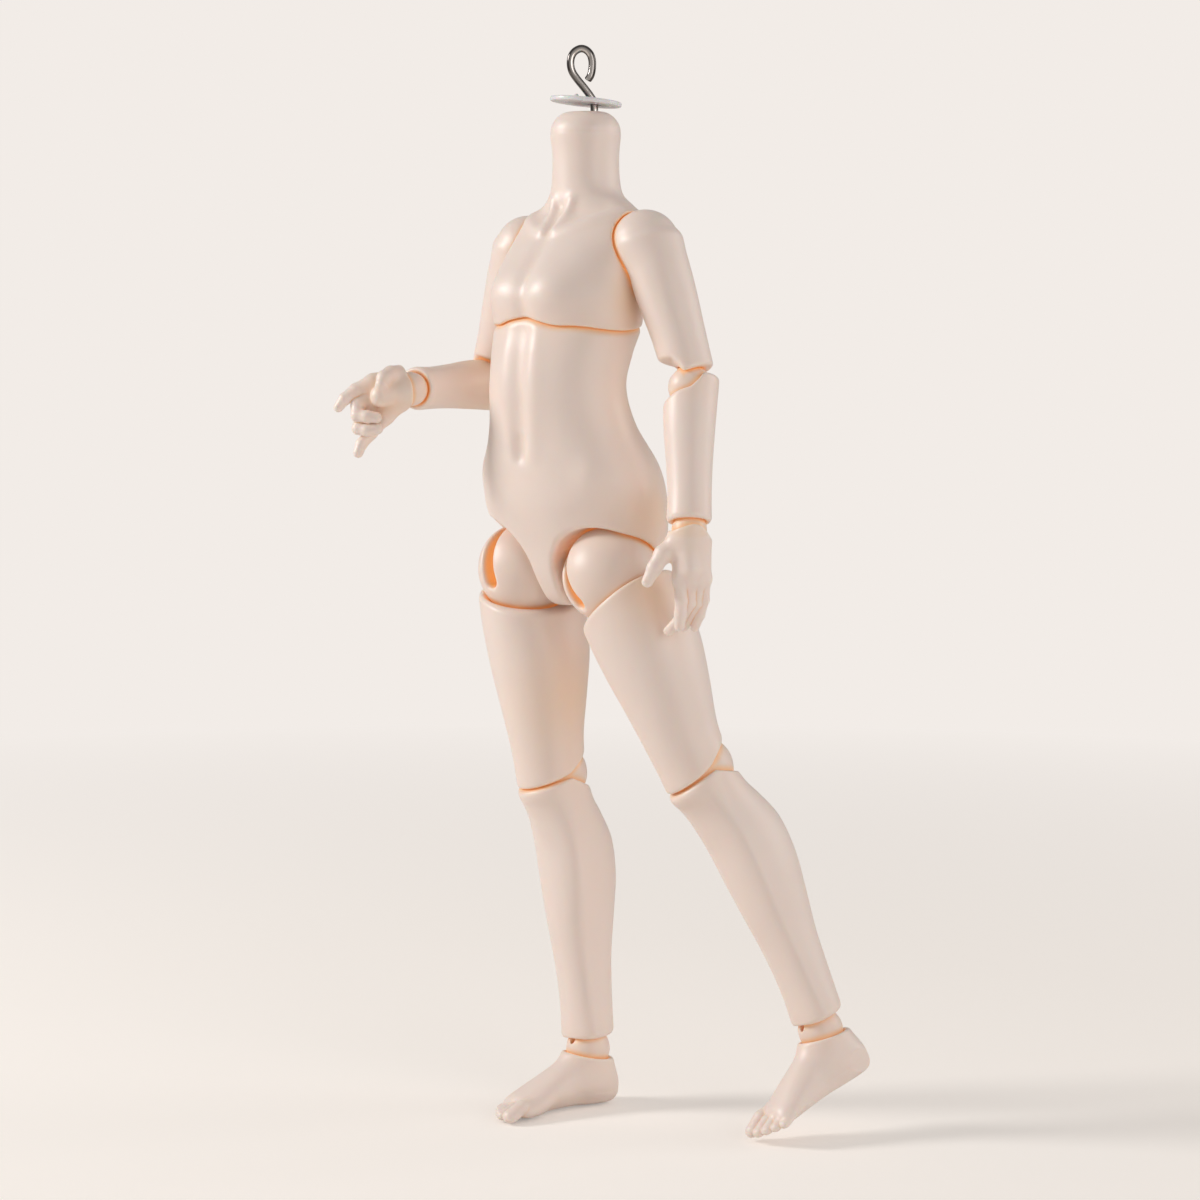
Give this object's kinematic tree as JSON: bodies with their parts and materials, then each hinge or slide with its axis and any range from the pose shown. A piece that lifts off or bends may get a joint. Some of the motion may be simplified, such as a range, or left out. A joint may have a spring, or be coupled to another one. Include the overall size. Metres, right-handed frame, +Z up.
{
  "type": "ball jointed doll body",
  "caption": "Headless ball jointed doll body standing on one foot, with loose joint balls between hollow limb shells, a hook and disc at the neck and elastic cord inside.",
  "frame": {"origin": "centre of the sole of the standing right foot", "axes": "+Z up, -Y the way the doll faces, +X its left side"},
  "size_m": [0.0974, 0.0852, 0.2407],
  "materials": {
    "resin": "unpainted cast resin, pale warm skin tone, satin",
    "joint_resin": "the same resin on the joint balls, slightly warmer",
    "polished_steel": "bright bent wire and small pins",
    "clear_plastic": "translucent white moulded disc",
    "elastic_cord": "round white elastic cord, hidden inside"
  },
  "bodies": {
    "lower_torso": {"lower_torso": "resin", "left_hip_elastic": "elastic_cord", "right_hip_elastic": "elastic_cord"},
    "upper_torso": {"upper_torso": "resin", "left_chest_elastic": "elastic_cord", "right_chest_elastic": "elastic_cord", "shoulder_elastic": "elastic_cord"},
    "neck_fitting": {"neck_hook": "polished_steel", "neck_disc": "clear_plastic", "neck_elastic": "elastic_cord"},
    "left_upper_arm": {"left_upper_arm": "resin", "left_upper_arm_elastic": "elastic_cord"},
    "left_elbow_ball": {"left_elbow_ball": "joint_resin"},
    "left_forearm": {"left_forearm": "resin", "left_forearm_elastic": "elastic_cord"},
    "left_wrist_ball": {"left_wrist_ball": "joint_resin"},
    "left_hand": {"left_hand": "resin", "left_hand_pin": "polished_steel"},
    "left_hip_ball": {"left_hip_ball": "joint_resin"},
    "left_thigh": {"left_thigh": "resin", "left_thigh_elastic": "elastic_cord"},
    "left_knee_ball": {"left_knee_ball": "joint_resin"},
    "left_calf": {"left_calf": "resin", "left_calf_elastic": "elastic_cord"},
    "left_ankle_ball": {"left_ankle_ball": "joint_resin"},
    "left_foot": {"left_foot": "resin", "left_foot_pin": "polished_steel"},
    "right_upper_arm": {"right_upper_arm": "resin", "right_upper_arm_elastic": "elastic_cord"},
    "right_elbow_ball": {"right_elbow_ball": "joint_resin"},
    "right_forearm": {"right_forearm": "resin", "right_forearm_elastic": "elastic_cord"},
    "right_wrist_ball": {"right_wrist_ball": "joint_resin"},
    "right_hand": {"right_hand": "resin", "right_hand_pin": "polished_steel"},
    "right_hip_ball": {"right_hip_ball": "joint_resin"},
    "right_thigh": {"right_thigh": "resin", "right_thigh_elastic": "elastic_cord"},
    "right_knee_ball": {"right_knee_ball": "joint_resin"},
    "right_calf": {"right_calf": "resin", "right_calf_elastic": "elastic_cord"},
    "right_ankle_ball": {"right_ankle_ball": "joint_resin"},
    "right_foot": {"right_foot": "resin", "right_foot_pin": "polished_steel"}
  },
  "joints": [
    {"name": "waist_bend", "type": "hinge", "parent": "lower_torso", "child": "upper_torso", "pos_m": [0.00259, 0.00186, 0.15413], "axis": [1, 0, 0], "range_deg": [-12, 12]},
    {"name": "neck_swivel", "type": "hinge", "parent": "upper_torso", "child": "neck_fitting", "pos_m": [0.00319, 0.00706, 0.22653], "axis": [0, 0, 1], "range_deg": [-45, 45]},
    {"name": "left_shoulder_raise", "type": "hinge", "parent": "upper_torso", "child": "left_upper_arm", "pos_m": [0.02339, 0.00706, 0.19603], "axis": [-1, 0, 0], "range_deg": [-25, 85]},
    {"name": "left_elbow_upper", "type": "hinge", "parent": "left_upper_arm", "child": "left_elbow_ball", "pos_m": [0.03536, 0.00706, 0.16485], "axis": [-0.783, 0.5446, -0.3006], "range_deg": [-7.85, 40.65]},
    {"name": "left_elbow_lower", "type": "hinge", "parent": "left_elbow_ball", "child": "left_forearm", "pos_m": [0.03536, 0.00706, 0.16485], "axis": [-0.783, 0.5446, -0.3006], "range_deg": [-7.85, 40.65]},
    {"name": "left_wrist_bend", "type": "hinge", "parent": "left_forearm", "child": "left_wrist_ball", "pos_m": [0.04199, -0.0002, 0.1344], "axis": [0.783, -0.5446, 0.3006], "range_deg": [-20, 20]},
    {"name": "left_hand_turn", "type": "hinge", "parent": "left_wrist_ball", "child": "left_hand", "pos_m": [0.04199, -0.0002, 0.1344], "axis": [-0.2074, 0.2269, 0.9516], "range_deg": [-40, 40]},
    {"name": "left_hip_swing", "type": "hinge", "parent": "lower_torso", "child": "left_hip_ball", "pos_m": [0.01629, 0.00186, 0.12343], "axis": [-1, 0, 0], "range_deg": [-15, 60]},
    {"name": "left_thigh_spread", "type": "hinge", "parent": "left_hip_ball", "child": "left_thigh", "pos_m": [0.01629, 0.00186, 0.12343], "axis": [0, -0.9664, -0.2571], "range_deg": [-6, 25]},
    {"name": "left_knee_upper", "type": "hinge", "parent": "left_thigh", "child": "left_knee_ball", "pos_m": [0.03226, 0.01437, 0.08058], "axis": [0.9194, -0.299, 0.2555], "range_deg": [-0.5, 30]},
    {"name": "left_knee_lower", "type": "hinge", "parent": "left_knee_ball", "child": "left_calf", "pos_m": [0.03226, 0.01437, 0.08058], "axis": [0.9194, -0.299, 0.2555], "range_deg": [-0.5, 30]},
    {"name": "left_ankle_bend", "type": "hinge", "parent": "left_calf", "child": "left_ankle_ball", "pos_m": [0.05361, 0.0304, 0.02251], "axis": [0.9194, -0.299, 0.2555], "range_deg": [-20, 20]},
    {"name": "left_foot_turn", "type": "hinge", "parent": "left_ankle_ball", "child": "left_foot", "pos_m": [0.05361, 0.0304, 0.02251], "axis": [-0.3437, -0.2953, 0.8914], "range_deg": [-30, 30]},
    {"name": "right_shoulder_raise", "type": "hinge", "parent": "upper_torso", "child": "right_upper_arm", "pos_m": [-0.01701, 0.00706, 0.19603], "axis": [-1, 0, 0], "range_deg": [-25, 85]},
    {"name": "right_elbow_upper", "type": "hinge", "parent": "right_upper_arm", "child": "right_elbow_ball", "pos_m": [-0.02979, 0.00868, 0.16521], "axis": [-0.905, -0.2204, 0.3638], "range_deg": [-48, 0.5]},
    {"name": "right_elbow_lower", "type": "hinge", "parent": "right_elbow_ball", "child": "right_forearm", "pos_m": [-0.02979, 0.00868, 0.16521], "axis": [-0.905, -0.2204, 0.3638], "range_deg": [-48, 0.5]},
    {"name": "right_wrist_bend", "type": "hinge", "parent": "right_forearm", "child": "right_wrist_ball", "pos_m": [-0.0226, -0.02249, 0.16422], "axis": [0.905, 0.2204, -0.3638], "range_deg": [-20, 20]},
    {"name": "right_hand_turn", "type": "hinge", "parent": "right_wrist_ball", "child": "right_hand", "pos_m": [-0.0226, -0.02249, 0.16422], "axis": [-0.2248, 0.9739, 0.031], "range_deg": [-40, 40]},
    {"name": "right_hip_swing", "type": "hinge", "parent": "lower_torso", "child": "right_hip_ball", "pos_m": [-0.01111, 0.00186, 0.12343], "axis": [-1, 0, 0], "range_deg": [-5, 48]},
    {"name": "right_thigh_spread", "type": "hinge", "parent": "right_hip_ball", "child": "right_thigh", "pos_m": [-0.01111, 0.00186, 0.12343], "axis": [0, 0.9977, 0.068], "range_deg": [-2, 25]},
    {"name": "right_knee_upper", "type": "hinge", "parent": "right_thigh", "child": "right_knee_ball", "pos_m": [-0.00558, 0.00615, 0.07654], "axis": [0.9813, -0.1637, 0.1009], "range_deg": [-0.5, 30]},
    {"name": "right_knee_lower", "type": "hinge", "parent": "right_knee_ball", "child": "right_calf", "pos_m": [-0.00558, 0.00615, 0.07654], "axis": [0.9813, -0.1637, 0.1009], "range_deg": [-0.5, 30]},
    {"name": "right_ankle_bend", "type": "hinge", "parent": "right_calf", "child": "right_ankle_ball", "pos_m": [0.00149, 0.00938, 0.0131], "axis": [0.9813, -0.1637, 0.1009], "range_deg": [-20, 20]},
    {"name": "right_foot_turn", "type": "hinge", "parent": "right_ankle_ball", "child": "right_foot", "pos_m": [0.00149, 0.00938, 0.0131], "axis": [-0.1132, -0.0676, 0.9913], "range_deg": [-30, 30]}
  ]
}
